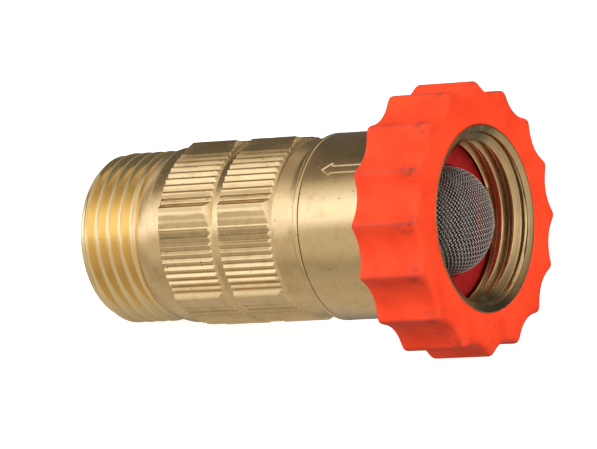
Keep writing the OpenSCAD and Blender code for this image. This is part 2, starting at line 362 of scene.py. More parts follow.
def outlet_housing():
    shell = Shell()
    outlet_thread(shell)
    first = BANDS[0][0] - BAND_MARGIN
    last = BANDS[1][1] + BAND_MARGIN
    shoulder = [(THREAD_TO, NECK_R, 0), (11.05, 13.0, 0.05), (12.3, 13.55, 0.8), (13.7, SHOULDER_R, 0.2),
                (13.78, SHOULDER_R - 0.1, 0.03), (13.86, SHOULDER_R, 0.04), (first - 0.1, SHOULDER_R, 0.1),
                (first - 0.05, CHANNEL_R, 0)]
    waist = [(last + 0.05, CHANNEL_R - 0.03, 0), (37.3, CHANNEL_R - 0.03, 0.1), (39.7, WAIST_R, 0.4),
             (SEAM, WAIST_R, 0.1)]
    bores = [(SEAM, SPIGOT_BORE_R, 0.1), (33, SPIGOT_BORE_R, 0.1), (33, PISTON_BORE_R, 0.1),
             (14.6, PISTON_BORE_R, 0.2), (14.6, OUTLET_BORE_R, 0.1), (0.6, OUTLET_BORE_R, 0.2)]
    rim = [(0, OUTLET_BORE_R + 0.5, 0.1), (0, RIM_R - 0.25, 0.1), (0.25, RIM_R, 0.1), (THREAD_FROM, RIM_R, 0)]
    before = shell.turned(rounded(shoulder))
    after = shell.turned(rounded(waist + bores + rim))
    knurled_bands(shell, before[-1], after[0])
    return shell.build("outlet_housing_brass")


# Inlet housing, with an engraved arrow that says which way the water flows

ARROW_TIP = 45.45
ARROW_HEAD = 1.55
ARROW_END = 54.2
ARROW_ARC = 35.02
ARROW_HALF = 0.65
ARROW_HEAD_HALF = 1.15
GROOVE_WIDTH = 0.3
GROOVE_DEPTH = 0.15


def inlet_housing():
    spigot = [(33.4, 10.3, 0.1), (33.4, 12.2, 0.1), (38.9, 12.2, 0.05), (38.9, 10.85, 0.1),
              (40.9, 10.85, 0.1), (40.9, 12.2, 0.05), (SEAM, 12.2, 0)]
    bead = [(SEAM, HOUSING_R - 0.25, 0.05), (SEAM + 0.25, HOUSING_R + 0.03, 0.2),
            (42.08, HOUSING_R + 0.03, 0.15), (42.25, HOUSING_R - 0.2, 0.05), (42.42, HOUSING_R, 0.08)]
    outside = [(49, HOUSING_R, 0), (55.4, HOUSING_R, 0.1), (55.65, HOUSING_R - 0.25, 0.1)]
    neck = [(55.65, 11, 0.1), (56.5, 11, 0.05), (56.5, 10.5, 0.1), (57.5, 10.5, 0.1), (57.5, 11, 0.05),
            (57.8, 11, 0.1), (58, 10.8, 0.05)]
    inside = [(58, 9, 0.05), (55.4, 9, 0.05), (55.4, 9.6, 0.05), (54.4, 9.6, 0.05), (54.4, 9, 0.05),
              (50.2, 9, 0.1), (50.2, 8.3, 0.1), (45, 8.3, 0.1), (45, 4.9, 0.1), (44.2, 4.9, 0.05)]
    gland = [(44.2, 6.2, 0.1), (40.2, 6.2, 0.05), (40.2, 6.45, 0.05), (38.2, 6.45, 0.1), (38.2, 10.3, 0.2)]
    piece = lathe("inlet_housing_brass", spigot + bead + outside + neck + inside + gland)
    barb = ARROW_TIP + ARROW_HEAD
    half = [(ARROW_END, ARROW_HALF), (barb + 0.1, ARROW_HALF), (barb, ARROW_HEAD_HALF), (ARROW_TIP, 0)]
    line = [(place, -arc) for place, arc in half] + half[-2::-1] + [(ARROW_END, -ARROW_HALF)]
    for start, end in zip(line, line[1:]):
        engrave(piece, np.array(start), np.array(end))
    return piece


def engrave(piece, start, end):
    """Cuts a straight V groove into the housing between two (place, arc) points."""
    along = (end - start) / np.linalg.norm(end - start)
    side = np.array([-along[1], along[0]])
    lift = 0.1
    half = GROOVE_WIDTH / 2 * (GROOVE_DEPTH + lift) / GROOVE_DEPTH
    wedge = ((half, HOUSING_R + lift), (-half, HOUSING_R + lift), (0, HOUSING_R - GROOVE_DEPTH))
    points = []
    for middle in (start - along * GROOVE_WIDTH / 3, end + along * GROOVE_WIDTH / 3):
        for offset, radius in wedge:
            place, arc = middle + side * offset
            turn = (ARROW_ARC + arc) / HOUSING_R
            points.append((place + RIM_X, radius * math.cos(turn), radius * math.sin(turn)))
    faces = [(0, 1, 2), (5, 4, 3), (0, 3, 4, 1), (1, 4, 5, 2), (2, 5, 3, 0)]
    cutter = make_object("cutter", points, faces)
    cut = piece.modifiers.new("cut", "BOOLEAN")
    cut.operation = "DIFFERENCE"
    cut.solver = "EXACT"
    cut.object = cutter
    bpy.context.view_layer.update()
    shaped = piece.evaluated_get(bpy.context.evaluated_depsgraph_get())
    mesh = bpy.data.meshes.new_from_object(shaped)
    piece.modifiers.clear()
    work = bmesh.new()
    work.from_mesh(mesh)
    bmesh.ops.remove_doubles(work, verts=work.verts, dist=0.002 * MM)
    work.to_mesh(mesh)
    work.free()
    piece.data = mesh
    bpy.data.objects.remove(cutter)
    shade(mesh, 32)


# Swivel nut

NUT_FROM = 56.0
HEX_FROM = 56.6
HEX_TO = 66.2
HEX_R = 17.3
HUB_R = 14.4
NOSE_R = 14.5
MOUTH_R = 14.28
NUT_CREST_R = 12.2
NUT_ROOT_R = 13.35
# A crest's place where the nut's thread faces -Y, on the far side from there
NUT_CREST = 64.95
NUT_THREAD_FROM = 60.45
NUT_THREAD_TO = 66.8
RELIEF_R = 13.0
NUT_BORE_R = 11.06
NUT_TURNS = np.arange(240) * FULL / 240


def nut_thread(shell):
    depth = NUT_ROOT_R - NUT_CREST_R
    place, phase, climb = thread_rows(NUT_THREAD_FROM, NUT_THREAD_TO, NUT_CREST, 0, NUT_TURNS, depth)
    radius = tooth(phase, NUT_CREST_R, NUT_ROOT_R)
    lead_in = MOUTH_R - (BODY_LENGTH - place) * 1.15
    radius = smooth_max(radius, lead_in, 0.05)
    ends = {NUT_THREAD_FROM: RELIEF_R, NUT_THREAD_TO: NUT_ROOT_R + 0.08}
    for end, end_r in ends.items():
        radius = end_r + (radius - end_r) * smooth_step(0, 0.45, np.abs(place - end))
    shell.helix(place, radius, NUT_TURNS[None], climb)


def hexagon(turn):
    sixth = math.radians(60)
    return HEX_R * math.cos(sixth / 2) / np.cos(turn % sixth - sixth / 2)


def swivel_nut():
    shell = Shell()
    nut_thread(shell)
    flat = np.array([HEX_FROM, HEX_FROM + 0.2, HEX_TO - 0.2, HEX_TO])
    inset = np.array([0.25, 0, 0, 0.25])
    hex_rows = shell.patch(flat[:, None], hexagon(NUT_TURNS)[None] - inset[:, None], NUT_TURNS[None])
    back = [(NUT_THREAD_FROM, RELIEF_R, 0), (57.9, RELIEF_R, 0.2), (57.9, NUT_BORE_R, 0.05),
            (57.5, NUT_BORE_R, 0.05), (57.5, 11.6, 0.05), (56.5, 11.6, 0.05), (56.5, NUT_BORE_R, 0.05),
            (NUT_FROM, NUT_BORE_R, 0.1), (NUT_FROM, HUB_R, 0.15), (HEX_FROM, HUB_R, 0)]
    front = [(HEX_TO, NOSE_R, 0), (BODY_LENGTH, NOSE_R, 0.08), (BODY_LENGTH, MOUTH_R, 0.05),
             (NUT_THREAD_TO, NUT_ROOT_R + 0.08, 0)]
    back_rows = shell.turned(rounded(back), NUT_TURNS)
    front_rows = shell.turned(rounded(front), NUT_TURNS)
    for one, other in ((back_rows[-1], hex_rows[0]), (hex_rows[-1], front_rows[0])):
        shell.quads(one, np.roll(one, -1), np.roll(other, -1), other)
    return shell.build("swivel_nut_brass")


# Grip

GRIP_FROM = 55.9
GRIP_R = 21.24
GRIP_RIDGES = 16
GRIP_TURN = math.radians(17.6)
VALLEY_R = 19.7
SCALLOP_R = 6.4
GRIP_ROUND = 1.0
LIP_ROUND = 0.3
MOULD_GAP = 0.02
GRIP_COLUMNS = 24 * GRIP_RIDGES
GRIP_TURNS = GRIP_TURN + np.arange(GRIP_COLUMNS) * FULL / GRIP_COLUMNS


def grip_radius(turn):
    """A round grip with a hollow scalloped between each two ridges, and the ridges' tips rounded."""
    step = FULL / GRIP_RIDGES
    away = (turn - GRIP_TURN) % step - step / 2
    spacing = VALLEY_R + SCALLOP_R
    hollow = spacing * np.cos(away) - np.sqrt(SCALLOP_R**2 - (spacing * np.sin(away)) ** 2)
    return smooth_min(hollow, GRIP_R, 0.4)


def nut_grip():
    outer = grip_radius(GRIP_TURNS)
    bend = np.linspace(0, math.pi / 2, 7)
    down = GRIP_ROUND * (1 - np.sin(bend))
    inset = GRIP_ROUND * (1 - np.cos(bend))
    place = np.concatenate([GRIP_FROM + down[::-1], np.linspace(GRIP_FROM + 2, BODY_LENGTH - 2, 6),
                            BODY_LENGTH - down])
    inward = np.concatenate([inset[::-1], np.zeros(6), inset])
    shell = Shell()
    shell.patch(place[:, None], outer[None] - inward[:, None], GRIP_TURNS[None])
    pocket = shell.patch(np.array([[HEX_FROM - MOULD_GAP], [HEX_TO + MOULD_GAP]]),
                         hexagon(GRIP_TURNS)[None] + 2 * MOULD_GAP, GRIP_TURNS[None])
    share = np.linspace(0, 1, 6)[:, None]
    for end, into, hole, pocket_row in ((GRIP_FROM, HEX_FROM - MOULD_GAP, HUB_R, pocket[0]),
                                        (BODY_LENGTH, HEX_TO + MOULD_GAP, NOSE_R, pocket[-1])):
        face = (outer - GRIP_ROUND)[None] * (1 - share) + (hole + 2 * LIP_ROUND) * share
        shell.patch(np.full(face.shape, end), face, GRIP_TURNS[None])
        lip = [(end, hole + 2 * LIP_ROUND, 0), (end, hole + MOULD_GAP, LIP_ROUND),
               (into, hole + MOULD_GAP, 0)]
        inner = shell.turned(rounded(lip), GRIP_TURNS)
        shell.quads(inner[-1], np.roll(inner[-1], -1), np.roll(pocket_row, -1), pocket_row)
    return shell.build("nut_grip_moulding", 40)


# Washer, strainer and spring

WASHER_TURNS = np.arange(192) * FULL / 192
NECK_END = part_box("inlet_housing")[1].x / MM - RIM_X
WASHER_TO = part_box("inlet_washer")[1].x / MM - RIM_X


def inlet_washer():
    corners = [(58.35, 8.67, 0.1), (58.35, 10.1, 0.1), (NECK_END, 10.1, 0.1), (NECK_END, 12.9, 0.4),
               (WASHER_TO - 0.35, 12.9, 0.4), (WASHER_TO, 12.3, 0.5), (WASHER_TO, 8.9, 0.25),
               (WASHER_TO - 0.25, 8.67, 0.15)]
    return lathe("inlet_washer_rubber", corners, WASHER_TURNS, 5)


DOME_R = 8.4
DOME_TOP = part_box("screen_mesh")[1].x / MM - RIM_X - 0.3
DOME_FULLNESS = 2.2
WIRE_R = 0.065
WEAVE_SIDES = 5
# The two families of wires run across these turns, this far apart: the cloth is sheared over its dome
WEAVE_TURNS = np.radians([-45, 28])
WEAVE_PITCH = np.array([0.44, 0.58])
REACH_IN_CELLS = 50
STEPS_A_CELL = 4
SHORTEST_WIRE = 8


def dome_line():
    """The strainer's middle surface from its top outwards: distance along it, radius and place."""
    reach = DOME_R - 2 * WIRE_R
    height = DOME_TOP - WASHER_TO - 2 * WIRE_R
    bend = np.linspace(math.pi / 2, 0, 80)
    radius = np.append(reach * np.cos(bend) ** (2 / DOME_FULLNESS), reach)
    place = WASHER_TO + np.append(height * np.sin(bend) ** (2 / DOME_FULLNESS), -0.7)
    distance = np.append(0, np.cumsum(np.hypot(np.diff(radius), np.diff(place))))
    return distance, radius, place


def on_dome(flat, height, line):
    """Where points of the flat cloth lie, that high over the dome's middle surface, and which way is out."""
    distance, radius, place = line
    away = np.hypot(flat[:, 0], flat[:, 1])
    turn = np.arctan2(flat[:, 1], flat[:, 0])
    out_s = np.interp(away, distance, np.gradient(radius, distance))
    out_r = -np.interp(away, distance, np.gradient(place, distance))
    out = np.stack([out_s, out_r * np.cos(turn), out_r * np.sin(turn)], -1)
    out /= np.linalg.norm(out, axis=1)[:, None]
    r = np.interp(away, distance, radius)
    s = np.interp(away, distance, place)
    points = np.stack([s + RIM_X, r * np.cos(turn), r * np.sin(turn)], -1)
    return points + out * height[:, None], out


def tube(path, normal, radius, sides):
    """Points and faces of a round tube along a path, closed at its ends. The normals set how it is turned."""
    ahead = np.gradient(path, axis=0)
    ahead /= np.linalg.norm(ahead, axis=1)[:, None]
    side = np.cross(ahead, normal)
    side /= np.linalg.norm(side, axis=1)[:, None]
    up = np.cross(side, ahead)
    angle = np.arange(sides) * FULL / sides
    ring = np.cos(angle)[None, :, None] * side[:, None] + np.sin(angle)[None, :, None] * up[:, None]
    points = (path[:, None] + radius * ring).reshape(-1, 3)
    number = np.arange(len(points)).reshape(-1, sides)
    beside = np.roll(number, -1, axis=1)
    walls = np.stack([number[:-1], beside[:-1], beside[1:], number[1:]], -1).reshape(-1, 4)
    return points, [*walls.tolist(), number[0][::-1].tolist(), number[-1].tolist()]


def screen_mesh():
    """Two families of wires woven over and under each other, laid over the dome.

    Each point keeps how far it is raised from the cloth's middle surface, from -1 to 1, for the material."""
    line = dome_line()
    reach = line[0][-1]
    count_across = np.stack([np.cos(WEAVE_TURNS), np.sin(WEAVE_TURNS)], -1) / WEAVE_PITCH[:, None]
    cell_to_flat = np.linalg.inv(count_across).T
    steps = np.arange(-REACH_IN_CELLS * STEPS_A_CELL, REACH_IN_CELLS * STEPS_A_CELL + 1) / STEPS_A_CELL
    rise = WIRE_R * np.sin(np.arange(WEAVE_SIDES) * FULL / WEAVE_SIDES)
    all_points, all_faces, all_raised, start = [], [], [], 0
    for family in (0, 1):
        count = int(reach / WEAVE_PITCH[family]) + 1
        for i in range(-count, count):
            cell = np.full((len(steps), 2), i + 0.5)
            cell[:, 1 - family] = steps
            flat = cell @ cell_to_flat
            within = np.hypot(flat[:, 0], flat[:, 1]) < reach
            if within.sum() < SHORTEST_WIRE:
                continue
            wave = (-1) ** (i + family) * WIRE_R * np.cos(math.pi * (cell[within, 1 - family] - 0.5))
            path, out = on_dome(flat[within], wave, line)
            points, faces = tube(path, out, WIRE_R, WEAVE_SIDES)
            all_points.append(points)
            all_faces += [[number + start for number in face] for face in faces]
            all_raised.append((wave[:, None] + rise).reshape(-1) / (2 * WIRE_R))
            start += len(points)
    piece = make_object("screen_mesh_weave", np.concatenate(all_points), all_faces, 75)
    raised = piece.data.attributes.new("raised", "FLOAT", "POINT")
    raised.data.foreach_set("value", np.concatenate(all_raised))
    return piece


SPRING_COIL_R = 7.8
SPRING_WIRE_R = 1.0
SPRING_TURNS = 5.6
# The part of a turn at each end that lies flat
SPRING_REST = 0.75
SPRING_STEPS = 400
SPRING_SIDES = 14


def piston_spring():
    """A coil with its end turns bedded flat on the two washers."""
    low, high = (corner.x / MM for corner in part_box("piston_spring"))
    turn = np.linspace(0, SPRING_TURNS, SPRING_STEPS)
    share = np.clip((turn - SPRING_REST) / (SPRING_TURNS - 2 * SPRING_REST), 0, 1)
    place = low + SPRING_WIRE_R + (high - low - 2 * SPRING_WIRE_R) * share
    out = np.stack([np.zeros(len(turn)), np.cos(turn * FULL), np.sin(turn * FULL)], -1)
    path = out * SPRING_COIL_R
    path[:, 0] = place
    points, faces = tube(path, out, SPRING_WIRE_R, SPRING_SIDES)
    return make_object("piston_spring_wire", points, faces, 50)


# Materials


class Nodes:
    """Short calls that add nodes to a tree and link them."""

    def __init__(self, tree):
        self.tree = tree
        tree.nodes.clear()

    def node(self, kind, *values, **settings):
        """Adds a node with these settings, and with these values or links in its first inputs."""
        made = self.tree.nodes.new(kind)
        for name, value in settings.items():
            setattr(made, name, value)
        for socket, value in zip(made.inputs, values):
            self.put(socket, value)
        return made

    def put(self, socket, value):
        if isinstance(value, bpy.types.NodeSocket):
            self.tree.links.new(value, socket)
        elif isinstance(value, tuple) and socket.type == "RGBA":
            socket.default_value = (*value, 1)
        else:
            socket.default_value = value

    def math(self, operation, *values):
        return self.node("ShaderNodeMath", *values, operation=operation).outputs[0]

    def share(self, value, low, high, to=(0, 1)):
        """How far a value is from low to high, as a share, or between the two ends of to."""
        made = self.node("ShaderNodeMapRange", value, low, high, *to, interpolation_type="SMOOTHSTEP")
        return made.outputs[0]

    def within(self, value, low, high, soft):
        """One between low and high, and zero outside them."""
        up = self.share(value, low - soft, low + soft)
        down = self.share(value, high - soft, high + soft, (1, 0))
        return self.math("MULTIPLY", up, down)

    def times(self, *shares):
        product = shares[0]
        for other in shares[1:]:
            product = self.math("MULTIPLY", product, other)
        return product

    def mix(self, share, a, b):
        """A colour that is a where the share is zero and b where it is one."""
        made = self.node("ShaderNodeMix", share, data_type="RGBA")
        self.put(made.inputs[6], a)
        self.put(made.inputs[7], b)
        return made.outputs[2]


class Look(Nodes):
    """A material of the object. Its textures measure in millimetres in the row frame."""

    def __init__(self, name):
        self.material = bpy.data.materials.new(name)
        self.material.use_nodes = True
        super().__init__(self.material.node_tree)
        in_metres = self.node("ShaderNodeTexCoord").outputs["Object"]
        where = self.node("ShaderNodeVectorMath", in_metres, operation="SCALE")
        self.put(where.inputs["Scale"], 1 / MM)
        self.where = where.outputs["Vector"]
        x, y, z = self.node("ShaderNodeSeparateXYZ", self.where).outputs
        y_squared = self.math("MULTIPLY", y, y)
        z_squared = self.math("MULTIPLY", z, z)
        self.place = self.math("SUBTRACT", x, RIM_X)
        self.radius = self.math("SQRT", self.math("ADD", y_squared, z_squared))
        self.turn = self.math("ARCTAN2", z, y)

    def noise(self, scale, detail=2, stretch=(1, 1, 1)):
        spread = self.node("ShaderNodeVectorMath", self.where, stretch, operation="MULTIPLY")
        made = self.node("ShaderNodeTexNoise", spread.outputs[0])
        self.put(made.inputs["Scale"], scale)
        self.put(made.inputs["Detail"], detail)
        return made.outputs["Fac"]

    def bump(self, height, depth, under=None):
        """Raises the surface by up to that depth in millimetres."""
        made = self.node("ShaderNodeBump")
        self.put(made.inputs["Height"], height)
        self.put(made.inputs["Distance"], depth * MM)
        if under is not None:
            self.put(made.inputs["Normal"], under)
        return made.outputs[0]

    def finish(self, **inputs):
        shader = self.node("ShaderNodeBsdfPrincipled")
        for name, value in inputs.items():
            self.put(shader.inputs[name.replace("_", " ")], value)
        self.node("ShaderNodeOutputMaterial", shader.outputs[0])
        return self.material


BRASS = (0.82, 0.60, 0.31)
BRASS_DULL = (0.70, 0.49, 0.23)
BRASS_GOLD = (0.92, 0.71, 0.36)
# Pale brass: wear with a painted highlight on the thread's crests, and a painted highlight in the arrow's
# cuts
BRASS_PALE_HIGHLIGHT = (0.86, 0.69, 0.42)
# Dark brown: real pits and a dark seam line, and painted shade in the knurl's grooves, inside the bores and
# in the nut's thread valleys
PITS_AND_SHADE = (0.16, 0.10, 0.045)
# Painted olive shade above and below inside the nut's mouth
MOUTH_SHADE_OLIVE = (0.16, 0.14, 0.08)


def turned_brass(look, rough, specks=0.7):
    """Colour, roughness and surface with faint lathe lines, uneven tarnish and small dark pits."""
    lines = look.noise(1, 3, (7, 0.25, 0.25))
    cloud = look.noise(0.25, 3)
    pits = look.share(look.noise(2.1, 2), specks, specks + 0.05)
    colour = look.mix(look.share(look.noise(0.5, 4), 0.45, 0.8), BRASS, BRASS_DULL)
    colour = look.mix(look.times(pits, 0.75), colour, PITS_AND_SHADE)
    clouded = look.share(cloud, 0.3, 0.7, (rough - 0.04, rough + 0.04))
    roughness = look.math("ADD", clouded, look.times(pits, 0.3))
    surface = look.bump(lines, 0.0025, look.bump(look.noise(3, 3), 0.003))
    surface = look.bump(look.math("SUBTRACT", 1, pits), 0.02, surface)
    return colour, roughness, surface


def outlet_brass():
    """Turned brass; the golden thread's crests worn pale with a painted highlight; painted shade between
    ribs.
    """
    look = Look("brass_outlet")
    colour, roughness, surface = turned_brass(look, 0.2)
    threaded = look.share(look.place, 10.4, 10.9, (1, 0))
    colour = look.mix(threaded, colour, BRASS_GOLD)
    # The crests are worn pale, and the pale colour also paints a highlight along them
    crests = look.times(threaded, look.share(look.radius, THREAD_CREST_R - 0.25, THREAD_CREST_R - 0.05))
    colour = look.mix(look.times(crests, 0.4), colour, BRASS_PALE_HIGHLIGHT)
    on_bands = [look.within(look.place, low + 0.2, high - BAND_DROP, 0.1) for low, high in BANDS]
    knurled = look.math("ADD", *on_bands)
    # Painted shade: darker brown down in the grooves between the ribs
    grooves = look.times(knurled, look.share(look.radius, GROOVE_R + 0.02, GROOVE_R + 0.12, (0.4, 0)),
                         look.share(look.radius, CHANNEL_R + 0.1, CHANNEL_R + 0.2))
    colour = look.mix(grooves, colour, PITS_AND_SHADE)
    rough = look.math("ADD", roughness, look.times(knurled, 0.04))
    return look.finish(Base_Color=colour, Metallic=1, Roughness=rough, Normal=surface)


def inlet_brass():
    """Turned brass with painted shade inside and in the groove, a dark seam line, and a painted highlight in
    the arrow's cuts.
    """
    look = Look("brass_inlet")
    colour, roughness, surface = turned_brass(look, 0.16)
    # Painted shade inside the bores and in the groove past the bead, with a dark line along the seam
    inside = look.share(look.radius, 11.5, 12, (1, 0))
    seam = look.within(look.place, SEAM - 0.2, SEAM + 0.12, 0.04)
    groove = look.within(look.place, 42.17, 42.37, 0.05)
    seam_and_shade = look.math("MAXIMUM", inside, look.math("MAXIMUM", seam, groove))
    colour = look.mix(seam_and_shade, colour, PITS_AND_SHADE)
    # Painted highlight: the arrow's cuts are made pale
    cut = look.times(look.within(look.place, 44, 55, 0.2), look.share(look.radius, 14.5, 14.57, (1, 0)),
                     look.share(look.radius, 14.2, 14.3))
    colour = look.mix(cut, colour, BRASS_PALE_HIGHLIGHT)
    roughness = look.math("ADD", roughness, look.times(look.math("MAXIMUM", inside, cut), 0.3))
    return look.finish(Base_Color=colour, Metallic=1, Roughness=roughness, Normal=surface)


def nut_brass():
    """Turned brass with painted olive shade above and below inside the mouth, and painted shade in the
    thread.
    """
    look = Look("brass_nut")
    colour, roughness, surface = turned_brass(look, 0.26, 0.72)
    inside = look.times(look.share(look.radius, 14.3, 14.4, (1, 0)), look.share(look.place, 57, 58))
    # Painted shade: dark olive at the top and the bottom inside the mouth
    patch = look.share(look.math("ABSOLUTE", look.math("SINE", look.turn)), 0.86, 0.99)
    patch = look.times(patch, look.share(look.noise(0.35, 4), 0.25, 0.5, (0.4, 0.8)))
    colour = look.mix(look.times(inside, patch), colour, MOUTH_SHADE_OLIVE)
    # Painted shade down in the nut's thread valleys
    valley = look.times(inside, look.share(look.radius, 12.6, 13.5, (0, 0.35)),
                        look.share(look.place, 66.2, NUT_THREAD_TO, (1, 0)))
    colour = look.mix(valley, colour, PITS_AND_SHADE)
    return look.finish(Base_Color=colour, Metallic=1, Roughness=roughness, Normal=surface)


def plain_brass(name, rough, specks):
    look = Look(name)
    colour, roughness, surface = turned_brass(look, rough, specks)
    return look.finish(Base_Color=colour, Metallic=1, Roughness=roughness, Normal=surface)


GRIP_RED = (0.80, 0.058, 0.018)
GRIP_DEEP = (0.70, 0.044, 0.012)
SCUFF = (0.13, 0.04, 0.03)


def grip_plastic():
    """Satin moulded plastic with scuffs along its ridges, the most where they meet the front face."""
    look = Look("red_grip")
    cloud = look.noise(0.25, 3)
    colour = look.mix(look.share(cloud, 0.35, 0.75), GRIP_RED, GRIP_DEEP)
    step = FULL / GRIP_RIDGES
    turned = look.math("MULTIPLY", look.math("SUBTRACT", look.turn, GRIP_TURN), FULL / step)
    to_ridge = look.math("COSINE", turned)
    near_ridge = look.share(to_ridge, -0.1, 0.95)
    at_front = look.within(look.place, BODY_LENGTH - 2.6, BODY_LENGTH - 0.1, 0.9)
    outer = look.share(look.radius, 18.4, 20)
    patchy = look.share(look.noise(0.8, 6), 0.42, 0.6)
    scuffs = look.times(near_ridge, at_front, outer, patchy, 0.5)
    colour = look.mix(scuffs, colour, SCUFF)
    crest = look.times(look.share(to_ridge, 0.93, 0.99), look.share(look.radius, 20.4, 21), 0.35)
    stray = look.times(look.share(look.noise(1.1, 4, (0.7, 1, 1)), 0.63, 0.72), 0.4)
    colour = look.mix(look.math("MAXIMUM", crest, stray), colour, SCUFF)
    surface = look.bump(look.noise(4, 3), 0.006, look.bump(cloud, 0.05))
    roughness = look.share(look.noise(0.8, 3), 0.3, 0.7, (0.46, 0.56))
    return look.finish(Base_Color=colour, Roughness=roughness, Normal=surface, Specular_IOR_Level=0.12)


def rubber(name, colour, other):
    look = Look(name)
    mottled = look.mix(look.share(look.noise(0.7, 4), 0.35, 0.7), colour, other)
    surface = look.bump(look.noise(3, 3), 0.01)
    return look.finish(Base_Color=mottled, Roughness=0.55, Normal=surface, Specular_IOR_Level=0.25)


WIRE = (1, 0.9, 0.83)
WIRE_DULL = (0.9, 0.8, 0.74)
# Near black painted shade where the wires dip under others
WIRE_SHADE = (0.03, 0.018, 0.012)


def woven_wire():
    """Wire that is bright where it crosses over another, with near black painted shade down between."""
    look = Look("stainless_wire")
    raised = look.node("ShaderNodeAttribute", attribute_name="raised").outputs["Fac"]
    mottled = look.mix(look.share(look.noise(0.8, 4), 0.3, 0.7), WIRE, WIRE_DULL)
    # Painted shade: the wires go near black where they are low in the weave
    colour = look.mix(look.share(raised, 0.3, 0.8), WIRE_SHADE, mottled)
    surface = look.bump(look.noise(3, 3), 0.003)
    return look.finish(Base_Color=colour, Metallic=0.65, Roughness=0.3, Normal=surface)


def steel(name, colour, other, rough, grain):
    look = Look(name)
    mottled = look.mix(look.share(look.noise(0.8, 4), 0.3, 0.7), colour, other)
    surface = look.bump(look.noise(1, 3, grain), 0.004)
    return look.finish(Base_Color=mottled, Metallic=1, Roughness=rough, Normal=surface)


def acetal(name, colour, other):
    look = Look(name)
    mottled = look.mix(look.share(look.noise(0.5, 3), 0.3, 0.7), colour, other)
    surface = look.bump(look.noise(1, 2, (5, 0.3, 0.3)), 0.004)
    return look.finish(Base_Color=mottled, Roughness=0.38, Normal=surface, Subsurface_Weight=0.05)


# Camera, stage and light


def camera():
    """The photograph's viewing angle: a long lens, turned a little clockwise."""
    azimuth = math.radians(33.06)
    elevation = math.radians(4.32)
    roll = math.radians(5.99)
    aim = Vector((-10.36, 15.10, -0.67)) * MM
    distance = 0.9575
    back = Vector((math.sin(azimuth) * math.cos(elevation), -math.cos(azimuth) * math.cos(elevation),
                   math.sin(elevation)))
    eye = bpy.data.objects.new("camera", bpy.data.cameras.new("camera"))
    eye.data.lens = 362.2
    eye.location = aim + back * distance
    eye.rotation_mode = "QUATERNION"
    eye.rotation_quaternion = back.to_track_quat("Z", "Y") @ Quaternion((0, 0, 1), -roll)
    bpy.context.scene.collection.objects.link(eye)
    bpy.context.scene.camera = eye


def glow(name, strength, paint=None):
    """A stage material that gives off white light. With a paint it shows shadows, and is clear from below."""
    material = bpy.data.materials.new(name)
    material.use_nodes = True
    nodes = Nodes(material.node_tree)
    surface = nodes.node("ShaderNodeEmission", WHITE, strength).outputs[0]
    if paint is not None:
        base = nodes.node("ShaderNodeBsdfDiffuse", paint).outputs[0]
        both = nodes.node("ShaderNodeAddShader", surface, base).outputs[0]
        hidden = nodes.node("ShaderNodeBsdfTransparent").outputs[0]
        from_below = nodes.node("ShaderNodeNewGeometry").outputs["Backfacing"]
        surface = nodes.node("ShaderNodeMixShader", from_below, both, hidden).outputs[0]
    nodes.node("ShaderNodeOutputMaterial", surface)
    return material


# Where the floor touches the outlet's thread
FLOOR_FROM = 1.6
FLOOR_R = 600
FLOOR_CORNERS = 96
FLOOR_GLOW = 0.86
FLOOR_PAINT = (0.7, 0.7, 0.7)
# The backdrop's radius in metres
BACKDROP_R = 2.4
WHITE = (1, 1, 1)


def pale_floor():
    """A round sheet that touches the outlet's thread and the grip's back edge."""
    thread_low = Vector((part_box("outlet_housing")[0].x + FLOOR_FROM * MM, 0, -THREAD_CREST_R * MM))
    grip_low = Vector((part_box("nut_grip")[0].x + GRIP_ROUND * MM, 0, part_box("nut_grip")[0].z))
    lean = grip_low - thread_low
    turns = np.arange(FLOOR_CORNERS) * FULL / FLOOR_CORNERS
    points = np.stack([FLOOR_R * np.cos(turns), FLOOR_R * np.sin(turns), np.zeros(FLOOR_CORNERS)], -1)
    floor = make_object("floor", points, [list(range(FLOOR_CORNERS))])
    floor.rotation_euler = (0, math.atan2(-lean.z, lean.x), 0)
    floor.location = (thread_low + grip_low) / 2
    floor.data.materials.append(glow("floor", FLOOR_GLOW, FLOOR_PAINT))
    floor.visible_glossy = False
    floor.visible_diffuse = False
    return floor


def white_backdrop():
    """A large ball round the whole stage that only the camera sees."""
    mesh = bpy.data.meshes.new("backdrop")
    work = bmesh.new()
    bmesh.ops.create_uvsphere(work, u_segments=48, v_segments=24, radius=BACKDROP_R)
    work.to_mesh(mesh)
    work.free()
    mesh.materials.append(glow("backdrop", 1))
    backdrop = bpy.data.objects.new("backdrop", mesh)
    bpy.context.scene.collection.objects.link(backdrop)
    backdrop.visible_glossy = False
    backdrop.visible_diffuse = False
    backdrop.visible_shadow = False
    backdrop.visible_transmission = False
    return backdrop


# The studio's brightness by the angle about the flow axis, in degrees: from behind and below, up past the
# front, and over. STUDIO is across the middle, STUDIO_SIDES is to either side of that, where the ceiling is
# lighter, and STUDIO_END is towards the inlet's end.
STUDIO = ((-180, 0.13), (-155, 0.25), (-138, 0.38), (-118, 0.53), (-95, 0.54), (-68, 0.51), (-43, 0.42),
          (-22, 0.66), (-7, 0.67), (2, 0.62), (9, 0.95), (15, 1.3), (22, 1.5), (37, 1.38), (47, 1.0),
          (58, 0.7), (71, 0.24), (100, 0.12), (150, 0.12), (180, 0.13))
STUDIO_SIDES = ((-180, 0.13), (-138, 0.4), (-95, 0.56), (-43, 0.45), (-7, 0.66), (15, 1.3), (40, 1.3),
                (60, 0.75), (78, 0.42), (95, 0.5), (112, 0.75), (135, 0.4), (155, 0.15), (180, 0.12))
STUDIO_END = ((-180, 0.1), (-138, 0.35), (-95, 0.6), (-43, 0.62), (-7, 0.75), (12, 1.2), (35, 1.2),
              (55, 0.9), (90, 0.75), (106, 0.55), (120, 0.2), (150, 0.1), (180, 0.1))
